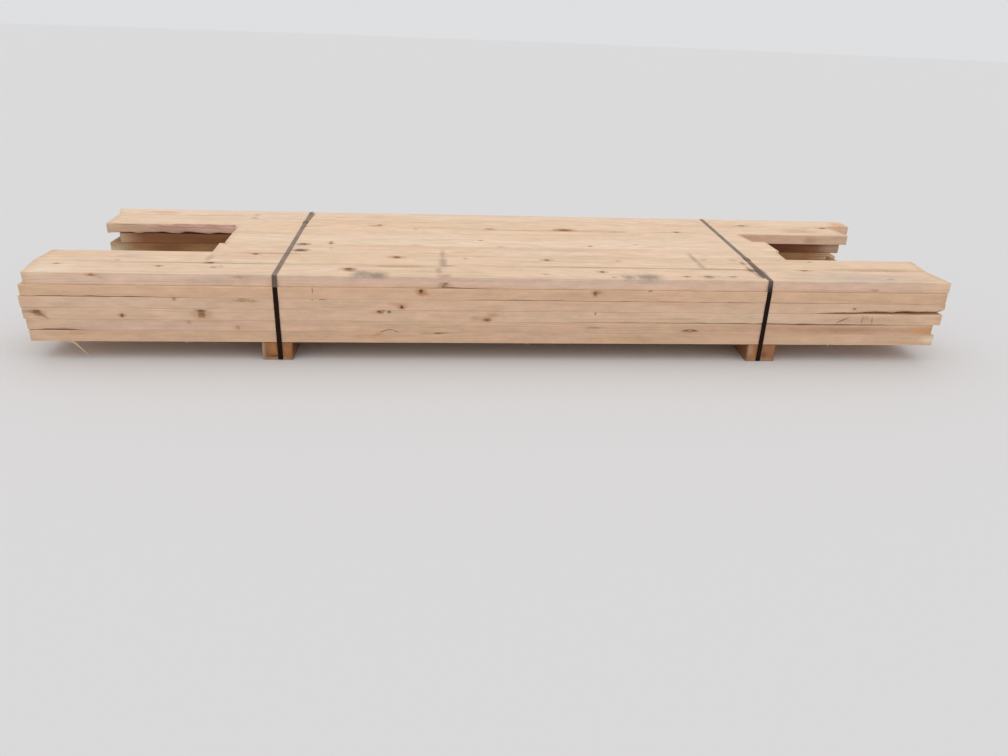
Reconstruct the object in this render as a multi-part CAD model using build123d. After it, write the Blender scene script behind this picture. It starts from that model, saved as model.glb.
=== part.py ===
from build123d import *
from dataclasses import dataclass, replace
from math import atan, cos, degrees, hypot, sin, sqrt
from random import Random
import os

# A strapped stack of rough-sawn softwood planks lying on two bearers. All sizes are in millimetres.
# X runs along the planks, Y from the front of the stack to its rear, and Z up.
# The origin is on the ground under the middle of the stack. Layer 1 is the top one.

# Planks: nominal 2 in stock of random widths, in three groups side by side
PLANK_THICKNESS = 46.0
LAYERS = 6
FRONT_WIDTHS = (168.0, 161.0)
MIDDLE_WIDTHS = (143.0, 181.0, 142.0)
REAR_WIDTHS = (206.0, 122.0)
EDGE_GAP = 1.5
FRONT_LENGTH = 3708.0
MIDDLE_LENGTH = 2515.0
REAR_INNER_LENGTH = 3630.0
REAR_OUTER_LENGTH = 3620.0

# How far the middle of each group's length lies from the middle of the stack
FRONT_SHIFT = -20.0
MIDDLE_SHIFT = 13.0
REAR_INNER_SHIFT = -36.0

# How far each layer's outer plank is set back from the face of the stack, from the top layer down
FRONT_SETBACKS = (8.0, 0.0, 2.0, 1.0, 1.5, 2.5)
REAR_SETBACKS = (0.0, 5.0, 2.0, 6.0, 3.0, 4.0)

# How far each layer's rear inner plank is set back from the planks in front of it, from the top layer down
INNER_SETBACKS = (0.0, 9.0, 7.0, 5.0, 8.0, 4.0)

# Ends cut by hand at the mill: how uneven they are where nothing sets them
END_STAGGER = 11.0
END_OUT_OF_SQUARE = 5.0
END_SEED = 12

# Wane: the bark edge of the log, left as a bevel that runs out along a plank's lower or upper edge
FRONT_WANE_REACH = 610.0
FRONT_WANE_RISE = 18.0
FRONT_WANE_DEPTH = 30.0
REAR_WANE_FROM_END = 1400.0
REAR_WANE_REACH = 1390.0
REAR_WANE_RISE = 24.0
REAR_WANE_DEPTH = 42.0

# Bearers: one timber under each strap
BEARER_WIDTH = 120.0
BEARER_HEIGHT = 75.0
LEFT_BEARER_SHIFT = -10.0
RIGHT_BEARER_SHIFT = 7.0

# Straps: 3/4 in steel strapping, drawn tight round the stack and its bearer
STRAP_WIDTH = 19.05
STRAP_THICKNESS = 0.8
STRAP_BEND_RADIUS = 3.0
STRAP_BITE_SIDE = 0.5
STRAP_BITE_REACH = 9.0
STRAP_SINK = 0.2
LEFT_STRAP_X = -931.0
LEFT_STRAP_RUN = -17.0
RIGHT_STRAP_X = 1092.0
RIGHT_STRAP_RUN = 60.0

# Seals: notched steel sleeves that hold a strap's two lapped ends
SEAL_LENGTH = 44.0
SEAL_WALL = 0.9
SEAL_CLEARANCE = 0.15
SEAL_SIDE_CLEARANCE = 1.3
SEAL_LIP = 6.0
SEAL_NOTCH_DEPTH = 4.6
SEAL_NOTCH_SPACING = 22.0
LAP_GAP = 0.1
LAP_STUB = 12.0
LAP_RAMP = 16.0
LAP_PAST_SEAL_MIDDLE = 11.0
LAP_END_CLEARANCE = 1.0
LEFT_SEAL_FROM_REAR = 236.0
LEFT_TAIL_LENGTH = 170.0
LEFT_TAIL_SKEW = -3.4
RIGHT_SEAL_FROM_FRONT = 330.0
RIGHT_TAIL_LENGTH = 262.0
RIGHT_TAIL_SKEW = -2.6

# Worked out from the sizes above
LAYER_WIDTHS = FRONT_WIDTHS + MIDDLE_WIDTHS + REAR_WIDTHS
STACK_DEPTH = sum(LAYER_WIDTHS) + EDGE_GAP * (len(LAYER_WIDTHS) - 1) + FRONT_SETBACKS[0] + REAR_SETBACKS[0]
FRONT_FACE = -STACK_DEPTH / 2
REAR_FACE = STACK_DEPTH / 2
STACK_TOP = BEARER_HEIGHT + LAYERS * PLANK_THICKNESS
STRAP_SEAT = STRAP_THICKNESS + STRAP_SINK
NEARLY_STRAIGHT = 1.0
QUARTER_TURN = 90.0


@dataclass(frozen=True)
class Ends:
    """The X of a plank's four corners, as seen from above."""

    left_front: float
    left_rear: float
    right_front: float
    right_rear: float


@dataclass(frozen=True)
class Group:
    """Planks of one length lying side by side in every layer."""

    names: tuple
    widths: tuple
    lengths: tuple
    shifts: tuple

    def order(self, layer: int) -> tuple:
        """The widths as they lie in this layer, turned so that joints don't stand in line."""
        turn = (layer - 1) % len(self.widths)
        return self.widths[turn:] + self.widths[:turn]


@dataclass(frozen=True)
class Plank:
    """One plank where it lies."""

    name: str
    front: float
    rear: float
    bottom: float
    ends: Ends

    def solid(self) -> Part:
        """The plank with its ends as they were cut."""
        corners = (
            (self.ends.left_front, self.front),
            (self.ends.right_front, self.front),
            (self.ends.right_rear, self.rear),
            (self.ends.left_rear, self.rear),
        )
        plan = Pos(Z=self.bottom) * Polygon(*corners, align=None)
        return extrude(plan, PLANK_THICKNESS)


GROUPS = (
    Group(
        ("front_outer", "front_inner"),
        FRONT_WIDTHS,
        (FRONT_LENGTH, FRONT_LENGTH),
        (FRONT_SHIFT, FRONT_SHIFT),
    ),
    Group(
        ("middle_front", "middle_centre", "middle_rear"),
        MIDDLE_WIDTHS,
        (MIDDLE_LENGTH, MIDDLE_LENGTH, MIDDLE_LENGTH),
        (MIDDLE_SHIFT, MIDDLE_SHIFT, MIDDLE_SHIFT),
    ),
    Group(
        ("rear_inner", "rear_outer"),
        REAR_WIDTHS,
        (REAR_INNER_LENGTH, REAR_OUTER_LENGTH),
        (REAR_INNER_SHIFT, 0.0),
    ),
)

# How far the corners of some planks lie from their group's ends: left front, left rear, right front, right rear.
# A minus sign shortens the plank at that corner.
KNOWN_ENDS = {
    "front_outer_plank_1": (-15.0, 14.0, 5.0, -8.0),
    "front_outer_plank_2": (1.0, 6.0, -3.0, 2.0),
    "front_outer_plank_3": (11.0, 7.0, 2.0, 6.0),
    "front_outer_plank_4": (7.0, 2.0, -1.0, -4.0),
    "front_outer_plank_5": (0.0, 4.0, -31.0, -26.0),
    "front_outer_plank_6": (-2.0, -6.0, -14.0, -17.0),
    "front_inner_plank_1": (14.0, 8.0, -8.0, 18.0),
    "middle_front_plank_1": (-6.0, 0.0, -6.0, 4.0),
    "middle_centre_plank_1": (-20.0, -12.0, 20.0, 21.0),
    "middle_rear_plank_1": (-12.0, -13.0, -42.0, -61.0),
    "rear_inner_plank_1": (-7.0, 5.0, 6.0, -16.0),
    "rear_inner_plank_2": (-58.0, -54.0, -25.0, -28.0),
    "rear_inner_plank_3": (-8.0, -12.0, -82.0, -78.0),
    "rear_outer_plank_1": (46.0, 83.0, 80.0, 83.0),
}


def corner_ends(name: str, length: float, shift: float, chance: Random) -> Ends:
    """The corners of a named plank: known ones as they are, the rest a little uneven."""
    left_stagger = chance.uniform(-END_STAGGER, 0)
    right_stagger = chance.uniform(-END_STAGGER, 0)
    left_square = chance.uniform(-END_OUT_OF_SQUARE, 0)
    right_square = chance.uniform(-END_OUT_OF_SQUARE, 0)
    uneven = (left_stagger, left_stagger + left_square, right_stagger, right_stagger + right_square)
    left_front, left_rear, right_front, right_rear = KNOWN_ENDS.get(name, uneven)
    left = shift - length / 2
    right = shift + length / 2
    return Ends(left - left_front, left - left_rear, right + right_front, right + right_rear)


def lay_planks() -> list:
    """Every plank of the stack, from the top layer down and from the front to the rear."""
    chance = Random(END_SEED)
    planks = []
    for layer in range(1, LAYERS + 1):
        bottom = STACK_TOP - layer * PLANK_THICKNESS
        edge = FRONT_FACE + FRONT_SETBACKS[0]
        row = []
        for group in GROUPS:
            for place, width, length, shift in zip(group.names, group.order(layer), group.lengths, group.shifts):
                name = f"{place}_plank_{layer}"
                ends = corner_ends(name, length, shift, chance)
                row.append(Plank(name, edge, edge + width, bottom, ends))
                edge += width + EDGE_GAP
        row[0] = replace(row[0], front=FRONT_FACE + FRONT_SETBACKS[layer - 1])
        row[-2] = replace(row[-2], front=row[-2].front + INNER_SETBACKS[layer - 1])
        row[-1] = replace(row[-1], rear=REAR_FACE - REAR_SETBACKS[layer - 1])
        planks += row
    return planks


@dataclass(frozen=True)
class Wane:
    """Where the round of the log shows along a plank's lower or upper front edge, deepest in its middle."""

    middle_x: float
    reach: float
    rise: float
    depth: float
    upper: bool

    def missing(self, plank: Plank) -> Part:
        """What the log lacked between its own round and the plank's square edge."""
        slant = hypot(self.rise, self.depth)
        sag = self.rise * self.depth / slant
        across = Plane(
            origin=(self.middle_x, plank.front, plank.bottom + self.upper * PLANK_THICKNESS),
            x_dir=(1, 0, 0),
            z_dir=(0, self.depth if self.upper else -self.depth, self.rise),
        )
        round_of_log = ThreePointArc((-self.reach, 0), (0, sag), (self.reach, 0))
        square_edge = Line((self.reach, 0), (-self.reach, 0))
        return extrude(across * make_face([round_of_log, square_edge]), slant, both=True)


WANES = {
    "front_outer_plank_3": Wane(
        FRONT_SHIFT + FRONT_LENGTH / 2,
        FRONT_WANE_REACH,
        FRONT_WANE_RISE,
        FRONT_WANE_DEPTH,
        upper=False,
    ),
    "rear_inner_plank_1": Wane(
        REAR_INNER_SHIFT - REAR_INNER_LENGTH / 2 + REAR_WANE_FROM_END,
        REAR_WANE_REACH,
        REAR_WANE_RISE,
        REAR_WANE_DEPTH,
        upper=True,
    ),
}


@dataclass(frozen=True)
class StrapLine:
    """Where a strap runs: a standing plane through the stack, a little off square."""

    centre_x: float
    run: float

    @property
    def slope(self) -> float:
        """How far the strap moves along the planks for each millimetre towards the rear."""
        return self.run / STACK_DEPTH

    @property
    def angle(self) -> float:
        """The strap's angle from square, in degrees."""
        return degrees(atan(self.slope))

    @property
    def stretch(self) -> float:
        """Length along the strap for each millimetre of depth."""
        return 1 / cos(atan(self.slope))

    def plane(self, width: float) -> Plane:
        """The strap's own plane, at the near edge of a band of this width."""
        along = Vector(sin(atan(self.slope)), cos(atan(self.slope)), 0)
        return Plane(origin=(self.centre_x - width / 2, 0, 0), x_dir=along, z_dir=along.cross(Vector(0, 0, 1)))

    def band(self, section: Sketch, width: float) -> Part:
        """A section in the strap's plane drawn out along the planks to this width."""
        return extrude(self.plane(width) * section, width, dir=(1, 0, 0))

    def point(self, y: float, z: float) -> Location:
        """A place on the strap's centre line, turned to run along it."""
        return Location((self.centre_x + self.slope * y, y, z), (0, 0, QUARTER_TURN - self.angle))


def turn(first: tuple, second: tuple, third: tuple) -> float:
    """Twice the area that three points enclose, above zero where they turn left."""
    return (second[0] - first[0]) * (third[1] - first[1]) - (second[1] - first[1]) * (third[0] - first[0])


def taut_chain(points: list) -> list:
    """One side of the line that a taut strap takes round the points."""
    chain = []
    for point in points:
        while len(chain) > 1 and turn(chain[-2], chain[-1], point) <= NEARLY_STRAIGHT:
            chain.pop()
        chain.append(point)
    return chain[:-1]


def strap_path(line: StrapLine, planks: list) -> Sketch:
    """The area that the strap is drawn round: the taut outline of planks and bearer, bent at its corners."""
    corners = []
    for plank in planks:
        corners.append((plank.front * line.stretch, plank.bottom))
        corners.append((plank.front * line.stretch, plank.bottom + PLANK_THICKNESS))
        corners.append((plank.rear * line.stretch, plank.bottom))
        corners.append((plank.rear * line.stretch, plank.bottom + PLANK_THICKNESS))
    corners.append((FRONT_FACE * line.stretch, STRAP_SEAT))
    corners.append((REAR_FACE * line.stretch, STRAP_SEAT))
    ordered = sorted(set(corners))
    outline = taut_chain(ordered) + taut_chain(ordered[::-1])
    area = Sketch() + make_face(Polyline(*outline, close=True))
    return fillet(area.vertices(), STRAP_BEND_RADIUS)


@dataclass(frozen=True)
class Strapping:
    """A strap, its seal and its loose tail."""

    name: str
    line: StrapLine
    seal_y: float
    tail_length: float
    tail_side: int
    tail_skew: float
    bearer_shift: float

    def span(self, start: float, end: float, low_start: float, low_end: float) -> Sketch:
        """A straight stretch of strap between two distances from the seal, counted towards the tail."""
        middle = self.seal_y * self.line.stretch
        near = middle + self.tail_side * start
        far = middle + self.tail_side * end
        corners = (
            (near, STACK_TOP + low_start),
            (far, STACK_TOP + low_end),
            (far, STACK_TOP + low_end + STRAP_THICKNESS),
            (near, STACK_TOP + low_start + STRAP_THICKNESS),
        )
        return Sketch() + make_face(Polyline(*corners, close=True))

    def strap(self, path: Sketch) -> Part:
        """The strap: once round the stack, up over its own start, through the seal and out as a tail."""
        lift = STRAP_THICKNESS + LAP_GAP
        stub_end = -(SEAL_LENGTH / 2 + LAP_STUB)
        ramp_foot = stub_end - LAP_RAMP
        loop = offset(path, STRAP_THICKNESS) - path
        loop -= self.span(ramp_foot, stub_end + LAP_END_CLEARANCE, 0, 0)
        loop += self.span(ramp_foot, stub_end, 0, lift)
        loop += self.span(stub_end, LAP_PAST_SEAL_MIDDLE, lift, lift)
        band = self.line.band(loop, STRAP_WIDTH)
        tail_box = Box(
            SEAL_LENGTH / 2 + self.tail_length,
            STRAP_WIDTH,
            STRAP_THICKNESS,
            align=(Align.MIN, Align.CENTER, Align.MIN),
        )
        heading = self.tail_skew if self.tail_side > 0 else 2 * QUARTER_TURN + self.tail_skew
        tail = self.line.point(self.seal_y, STACK_TOP + lift) * Rot(Z=heading) * tail_box
        return band + tail - self.notches()

    def bite(self, path: Sketch) -> Part:
        """What the taut strap crushes out of the wood's corners."""
        around = offset(path, STRAP_BITE_REACH) - path
        return self.line.band(around, STRAP_WIDTH + 2 * STRAP_BITE_SIDE)

    def seal(self) -> Part:
        """The sleeve: a folded plate round both lapped ends, notched on both sides."""
        inner_width = STRAP_WIDTH + 2 * SEAL_SIDE_CLEARANCE
        inner_height = 2 * STRAP_THICKNESS + LAP_GAP + 2 * SEAL_CLEARANCE
        outer_width = inner_width + 2 * SEAL_WALL
        outer_height = inner_height + 2 * SEAL_WALL
        body = Box(SEAL_LENGTH, outer_width, outer_height, align=(Align.CENTER, Align.CENTER, Align.MIN))
        bore = Box(SEAL_LENGTH, inner_width, inner_height, align=(Align.CENTER, Align.CENTER, Align.MIN))
        slot = Box(SEAL_LENGTH, outer_width - 2 * SEAL_LIP, SEAL_WALL, align=(Align.CENTER, Align.CENTER, Align.MIN))
        sleeve = body - Pos(Z=SEAL_WALL) * bore - slot
        return self.line.point(self.seal_y, STACK_TOP - SEAL_CLEARANCE - SEAL_WALL) * sleeve - self.notches()

    def notches(self) -> Part:
        """The V notches that the sealing tool leaves through seal and strap."""
        outer_width = STRAP_WIDTH + 2 * (SEAL_SIDE_CLEARANCE + SEAL_WALL)
        reach = 2 * (STRAP_THICKNESS + SEAL_CLEARANCE + SEAL_WALL) + LAP_GAP
        side = SEAL_NOTCH_DEPTH * sqrt(2)
        vee = extrude(Rectangle(side, side, rotation=QUARTER_TURN / 2), reach, both=True)
        places = GridLocations(SEAL_NOTCH_SPACING, outer_width, 2, 2)
        return self.line.point(self.seal_y, STACK_TOP) * Part(children=[place * vee for place in places])

    def seal_pocket(self) -> Part:
        """The shallow dent that the seal's lips press into the planks."""
        length = SEAL_LENGTH + 2 * SEAL_CLEARANCE
        width = STRAP_WIDTH + 2 * (SEAL_SIDE_CLEARANCE + SEAL_WALL + SEAL_CLEARANCE)
        depth = 2 * SEAL_CLEARANCE + SEAL_WALL
        dent = Box(length, width, depth, align=(Align.CENTER, Align.CENTER, Align.MAX))
        return self.line.point(self.seal_y, STACK_TOP) * dent

    def bearer(self) -> Part:
        """The timber under the strap, beside its middle, with its ends trimmed flush with the stack."""
        side = Rectangle(STACK_DEPTH * self.line.stretch, BEARER_HEIGHT, align=(Align.CENTER, Align.MIN))
        return Pos(X=self.bearer_shift) * self.line.band(side, BEARER_WIDTH)


STRAPPINGS = (
    Strapping(
        "left",
        StrapLine(LEFT_STRAP_X, LEFT_STRAP_RUN),
        REAR_FACE - LEFT_SEAL_FROM_REAR,
        LEFT_TAIL_LENGTH,
        1,
        LEFT_TAIL_SKEW,
        LEFT_BEARER_SHIFT,
    ),
    Strapping(
        "right",
        StrapLine(RIGHT_STRAP_X, RIGHT_STRAP_RUN),
        FRONT_FACE + RIGHT_SEAL_FROM_FRONT,
        RIGHT_TAIL_LENGTH,
        -1,
        RIGHT_TAIL_SKEW,
        RIGHT_BEARER_SHIFT,
    ),
)


def build() -> dict:
    """Every piece of the stack, by the name of its node."""
    planks = lay_planks()
    pieces = {}
    paths = [strap_path(strapping.line, planks) for strapping in STRAPPINGS]
    bites = [strapping.bite(path) for strapping, path in zip(STRAPPINGS, paths)]
    for plank in planks:
        solid = plank.solid()
        if plank.name in WANES:
            solid -= WANES[plank.name].missing(plank)
        if "outer" in plank.name:
            for bite in bites:
                solid -= bite
        if plank.bottom + PLANK_THICKNESS == STACK_TOP:
            for strapping in STRAPPINGS:
                solid -= strapping.seal_pocket()
        pieces[plank.name] = solid
    for strapping, path, bite in zip(STRAPPINGS, paths, bites):
        pieces[f"{strapping.name}_bearer"] = strapping.bearer() - bite
        pieces[f"{strapping.name}_strap"] = strapping.strap(path)
        pieces[f"{strapping.name}_strap_seal"] = strapping.seal()
    return pieces


os.makedirs("parts", exist_ok=True)
for name, solid in build().items():
    export_step(solid, f"parts/{name}.step")
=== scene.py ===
"""Dresses a strapped stack of rough-sawn planks, on its two bearers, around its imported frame."""

import logging
import math
from contextlib import contextmanager
from dataclasses import dataclass, replace
from enum import Enum
from itertools import starmap
from random import Random
from typing import Iterator

import bpy
import numpy as np
from mathutils import Matrix, Vector


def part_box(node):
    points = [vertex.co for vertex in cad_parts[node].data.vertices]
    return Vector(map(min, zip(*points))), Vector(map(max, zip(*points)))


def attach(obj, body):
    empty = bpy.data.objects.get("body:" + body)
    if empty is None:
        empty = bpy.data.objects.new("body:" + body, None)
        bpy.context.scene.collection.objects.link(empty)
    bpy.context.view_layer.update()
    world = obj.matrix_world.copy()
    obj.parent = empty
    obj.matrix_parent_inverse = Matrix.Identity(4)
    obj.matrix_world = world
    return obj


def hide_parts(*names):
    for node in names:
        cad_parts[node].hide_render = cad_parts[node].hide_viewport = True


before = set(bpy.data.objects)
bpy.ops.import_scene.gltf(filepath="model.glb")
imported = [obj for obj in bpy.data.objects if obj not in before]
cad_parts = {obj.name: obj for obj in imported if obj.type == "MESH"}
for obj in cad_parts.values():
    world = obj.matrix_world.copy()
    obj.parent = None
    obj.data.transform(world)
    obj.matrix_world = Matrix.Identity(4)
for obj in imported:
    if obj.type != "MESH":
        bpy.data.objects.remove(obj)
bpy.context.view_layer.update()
LOG = logging.getLogger("stack")

Colour = tuple[float, float, float, float]
Point = tuple[float, float, float]
Span = tuple[float, float]
Values = dict | None


@dataclass(frozen=True)
class Box:
    """The lowest and the highest corner of a node, in metres."""

    low: Vector
    high: Vector

    @classmethod
    def of(cls, node: str) -> "Box":
        """The box of one of the frame's nodes."""
        return cls(*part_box(node))

    @property
    def middle(self) -> Vector:
        """The box's middle."""
        return (self.low + self.high) / 2

    @property
    def size(self) -> Vector:
        """How far the box reaches along each axis."""
        return self.high - self.low


def linear(step: float) -> float:
    """A screen's step of lightness, from 0 to 1, in linear light by the sRGB curve."""
    return step / 12.92 if step <= 0.04045 else ((step + 0.055) / 1.055) ** 2.4


def paint(red: int, green: int, blue: int) -> Colour:
    """A colour as a screen shows it, turned into the numbers that a shader mixes.

    Args:
        red: The screen's red, from 0 to 255.
        green: The screen's green.
        blue: The screen's blue.

    Returns:
        The colour in linear light, with an alpha of 1.
    """
    return (*(linear(value / 255) for value in (red, green, blue)), 1.0)


class Pattern(Enum):
    """Soft random patches in a finish.

    Each holds how many patches there are to a metre along each axis, how many finer layers are
    added to them, and how strong those are. On a board, X runs along the log.
    """

    BARK_FIBRES = ((14, 90, 90), 3, 0.7)
    CLOUD = ((3.5, 17, 17), 4, 0.62)
    DRIFT = ((1.3, 10, 10), 4, 0.6)
    FIBRES = ((6, 240, 240), 4, 0.65)
    MOTTLE = ((13, 42, 42), 4, 0.62)
    RAGGED = ((60, 130, 130), 4, 0.65)
    RING_BANDS = ((0.8, 22, 22), 3, 0.6)
    RING_RIPPLE = ((9, 60, 60), 1, 0.5)
    RING_WANDER = ((0.9, 7, 7), 2, 0.5)
    SAW_TEETH = ((210, 9, 9), 1, 0.5)
    SPECKS = ((55, 130, 130), 2, 0.6)
    STAIN_CLOUD = ((70, 190, 190), 5, 0.7)
    STREAKS = ((1.7, 75, 75), 3, 0.7)
    TORN = ((10, 40, 40), 3, 0.65)
    WORN = ((4.2, 15, 15), 5, 0.68)
    STEEL_FINE = ((420, 160, 420), 3, 0.6)
    STEEL_PATCHES = ((40, 14, 40), 4, 0.65)


class Sheet:
    """The nodes of one material, which grow as its finish is written down as maths."""

    def __init__(self, name: str) -> None:
        """Starts an empty material.

        Args:
            name: The material's name.
        """
        self.material = bpy.data.materials.new(name)
        self.material.use_nodes = True
        self.tree = self.material.node_tree
        self.tree.nodes.clear()

    def node(
        self, kind: str, settings: Values = None, inputs: Values = None, output: int = 0
    ) -> "Term":
        """Adds a node and gives one of its outputs.

        Args:
            kind: The node's type.
            settings: Its properties by name.
            inputs: Values or terms for its sockets, by name or number.
            output: Which of its outputs is wanted.

        Returns:
            The wanted output.
        """
        return Term(self, self.joined(kind, settings, inputs).outputs[output])

    def joined(self, kind: str, settings: Values = None, inputs: Values = None) -> bpy.types.Node:
        """Adds a node, sets it up and joins it to what feeds it.

        Args:
            kind: The node's type.
            settings: Its properties by name.
            inputs: Values or terms for its sockets, by name or number.

        Returns:
            The node.
        """
        node = self.tree.nodes.new(kind)
        for name, value in (settings or {}).items():
            setattr(node, name, value)
        for name, value in (inputs or {}).items():
            if isinstance(value, Term):
                self.tree.links.new(value.socket, node.inputs[name])
            else:
                node.inputs[name].default_value = value
        return node

    def attribute(self, name: "Mapped") -> "Term":
        """What the mesh holds at this place under a name, as a vector."""
        return self.node("ShaderNodeAttribute", {"attribute_name": name.value}, output=1)

    def place(self) -> "Term":
        """The place on the piece, in metres."""
        return self.node("ShaderNodeTexCoord", output=3)

    def facing_up(self) -> "Term":
        """How far the surface looks up, from -1 to 1."""
        return self.parts(self.node("ShaderNodeNewGeometry", output=1))[2]

    def parts(self, vector: "Term") -> tuple["Term", "Term", "Term"]:
        """The three numbers of a vector."""
        x, y, z = self.joined("ShaderNodeSeparateXYZ", inputs={0: vector}).outputs
        return Term(self, x), Term(self, y), Term(self, z)

    def vector(self, operation: str, first: "Term", second: "Term | Point") -> "Term":
        """One step of maths on two vectors."""
        return self.node("ShaderNodeVectorMath", {"operation": operation}, {0: first, 1: second})

    def scaled(self, vector: "Term | Point", share: "Term") -> "Term":
        """A vector made longer, or a colour made lighter, by a number."""
        return self.node("ShaderNodeVectorMath", {"operation": "SCALE"}, {0: vector, 3: share})

    def length(self, vector: "Term") -> "Term":
        """A vector's length."""
        return self.node("ShaderNodeVectorMath", {"operation": "LENGTH"}, {0: vector}, output=1)

    def noise(self, place: "Term", pattern: Pattern) -> "Term":
        """Soft random patches, from 0 to 1.

        Args:
            place: Where on the piece.
            pattern: What the patches are like.

        Returns:
            The patches as a number.
        """
        scale, detail, rough = pattern.value
        stretched = self.vector("MULTIPLY", place, scale)
        inputs = {"Vector": stretched, "Scale": 1.0, "Detail": detail, "Roughness": rough}
        return self.node("ShaderNodeTexNoise", inputs=inputs)

    def step(self, value: "Term", low: float, high: float) -> "Term":
        """A smooth rise from 0 at one value to 1 at another.

        Args:
            value: What is compared.
            low: Where the rise starts.
            high: Where it ends.

        Returns:
            A number from 0 to 1.
        """
        limits = {"Value": value, "From Min": low, "From Max": high}
        return self.node("ShaderNodeMapRange", {"interpolation_type": "SMOOTHSTEP"}, limits)

    def band(self, value: "Term", rise: Span, fall: Span) -> "Term":
        """A smooth rise from 0 to 1 over one span of values, and a smooth fall over a later one."""
        return self.step(value, *rise) * (1 - self.step(value, *fall))

    def mix(
        self, share: "Term | float", first: "Term | Colour", second: "Term | Colour"
    ) -> "Term":
        """A blend of two colours.

        Args:
            share: How much of the second colour there is.
            first: The colour at 0.
            second: The colour at 1.

        Returns:
            The blended colour.
        """
        settings = {"data_type": "RGBA", "clamp_factor": True}
        return self.node("ShaderNodeMix", settings, {0: share, 6: first, 7: second}, output=2)

    def layered(self, colour: "Term", *layers: "tuple[Term, Term | Colour]") -> "Term":
        """A colour with others laid over it in turn.

        Args:
            colour: The colour underneath.
            layers: How thickly each further colour lies, from 0 to 1, and the colour.

        Returns:
            The blended colour.
        """
        for share, cover in layers:
            colour = self.mix(share, colour, cover)
        return colour

    def stained(self, colour: "Term", stains: "tuple[Stain, ...]") -> "Term":
        """A colour with stains and dirt on it.

        Args:
            colour: The colour so far.
            stains: The stains, with the last one on top.

        Returns:
            The stained colour.
        """
        if not stains:
            return colour
        place = self.place()
        cloud = self.noise(place, Pattern.STAIN_CLOUD)
        layers = ((stain.cover(self, place, cloud), stain.colour) for stain in stains)
        return self.layered(colour, *layers)

    def bump(self, height: "Term", strength: float, distance: float) -> "Term":
        """The way a surface faces once its relief is added.

        Args:
            height: The relief, where 1 is one distance high.
            strength: How much of it shows.
            distance: The relief's height in metres.

        Returns:
            The surface's normal.
        """
        relief = {"Height": height, "Strength": strength, "Distance": distance}
        return self.node("ShaderNodeBump", inputs=relief)

    def surface(self, inputs: dict) -> bpy.types.Material:
        """Ends the material in a surface with these values and terms.

        Args:
            inputs: Values or terms for the surface's sockets, by name.

        Returns:
            The finished material.
        """
        shader = self.node("ShaderNodeBsdfPrincipled", inputs=inputs)
        self.joined("ShaderNodeOutputMaterial", inputs={"Surface": shader})
        return self.material


@dataclass(frozen=True)
class Term:
    """A number, vector or colour in a material. Python's operators on it add Math nodes."""

    sheet: Sheet
    socket: bpy.types.NodeSocket

    def maths(self, operation: str, *others: "Term | float") -> "Term":
        """One Math node on this term and others, in this order."""
        inputs = dict(enumerate((self, *others)))
        return self.sheet.node("ShaderNodeMath", {"operation": operation}, inputs)

    def hypot(self, other: "Term") -> "Term":
        """The length of a vector that has this term and another as its two parts."""
        return (self * self + other * other).maths("SQRT")

    def __add__(self, other: "Term | float") -> "Term":
        """Sum."""
        return self.maths("ADD", other)

    def __radd__(self, other: float) -> "Term":
        """Sum with a number first."""
        return self.maths("ADD", other)

    def __sub__(self, other: "Term | float") -> "Term":
        """Difference."""
        return self.maths("SUBTRACT", other)

    def __rsub__(self, other: float) -> "Term":
        """Difference with a number first."""
        return self.sheet.node("ShaderNodeMath", {"operation": "SUBTRACT"}, {0: other, 1: self})

    def __mul__(self, other: "Term | float") -> "Term":
        """Product."""
        return self.maths("MULTIPLY", other)

    def __truediv__(self, other: "Term | float") -> "Term":
        """Quotient."""
        return self.maths("DIVIDE", other)


class Mapped(Enum):
    """The values that a board's mesh holds for its finish."""

    LOG = "log_place"
    KNOT = "knot_place"
    SKIN = "skin"
    TONE = "tone"


GRIME = paint(116, 104, 96)
DIRT = paint(104, 84, 66)
BROWN = paint(118, 74, 46)
DEEP_BROWN = paint(92, 52, 30)
PITCH = paint(52, 28, 16)
RED_BROWN = paint(156, 98, 68)
TAN = paint(190, 148, 108)
RUST = paint(192, 134, 98)
ORANGE = paint(212, 148, 86)
# Painted light in the notches
PAINTED_LIGHT_HONEY = paint(244, 196, 136)
# Painted shade in the notches
PAINTED_SHADE_MAHOGANY = paint(104, 46, 22)
DUN = paint(204, 182, 166)
PINK = paint(233, 202, 186)
MAUVE = paint(192, 146, 130)
OLIVE = paint(152, 114, 78)
CREAM = paint(246, 224, 196)


@dataclass(frozen=True)
class Stain:
    """A patch of another colour on the wood or the steel.

    Attributes:
        place: The patch's middle, in metres.
        reach: How far it reaches from there along each axis.
        colour: Its colour.
        strength: How thickly it lies at its middle, from 0 to 1.
        broken: How far smaller patches break up its outline.
        slope: How far it climbs for each metre along X.
    """

    place: Point
    reach: Point
    colour: Colour = GRIME
    strength: float = 0.6
    broken: float = 1.7
    slope: float = 0.0

    def touches(self, box: Box) -> bool:
        """Whether the patch shows on a board. It stays in the layer that its middle lies in.

        Args:
            box: The board's box.

        Returns:
            True if it shows.
        """
        near = all(
            box.low[axis] - self.reach[axis] < self.place[axis] < box.high[axis] + self.reach[axis]
            for axis in (0, 1)
        )
        return near and box.low.z < self.place[2] < box.high.z

    def cover(self, sheet: Sheet, place: Term, cloud: Term) -> Term:
        """How thickly the patch lies on the surface.

        Args:
            sheet: The material of the piece.
            place: The place on the piece.
            cloud: The small patches that break up the stain's outline.

        Returns:
            A number from 0 to 1.
        """
        whole, gone = 0.1, 1.15
        offset = sheet.vector("SUBTRACT", place, self.place)
        if self.slope:
            along, _, _ = sheet.parts(offset)
            offset = sheet.vector("SUBTRACT", offset, sheet.scaled((0, 0, self.slope), along))
        far = sheet.length(sheet.vector("DIVIDE", offset, self.reach))
        return (1 - sheet.step(far + (cloud - 0.5) * self.broken, whole, gone)) * self.strength


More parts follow.
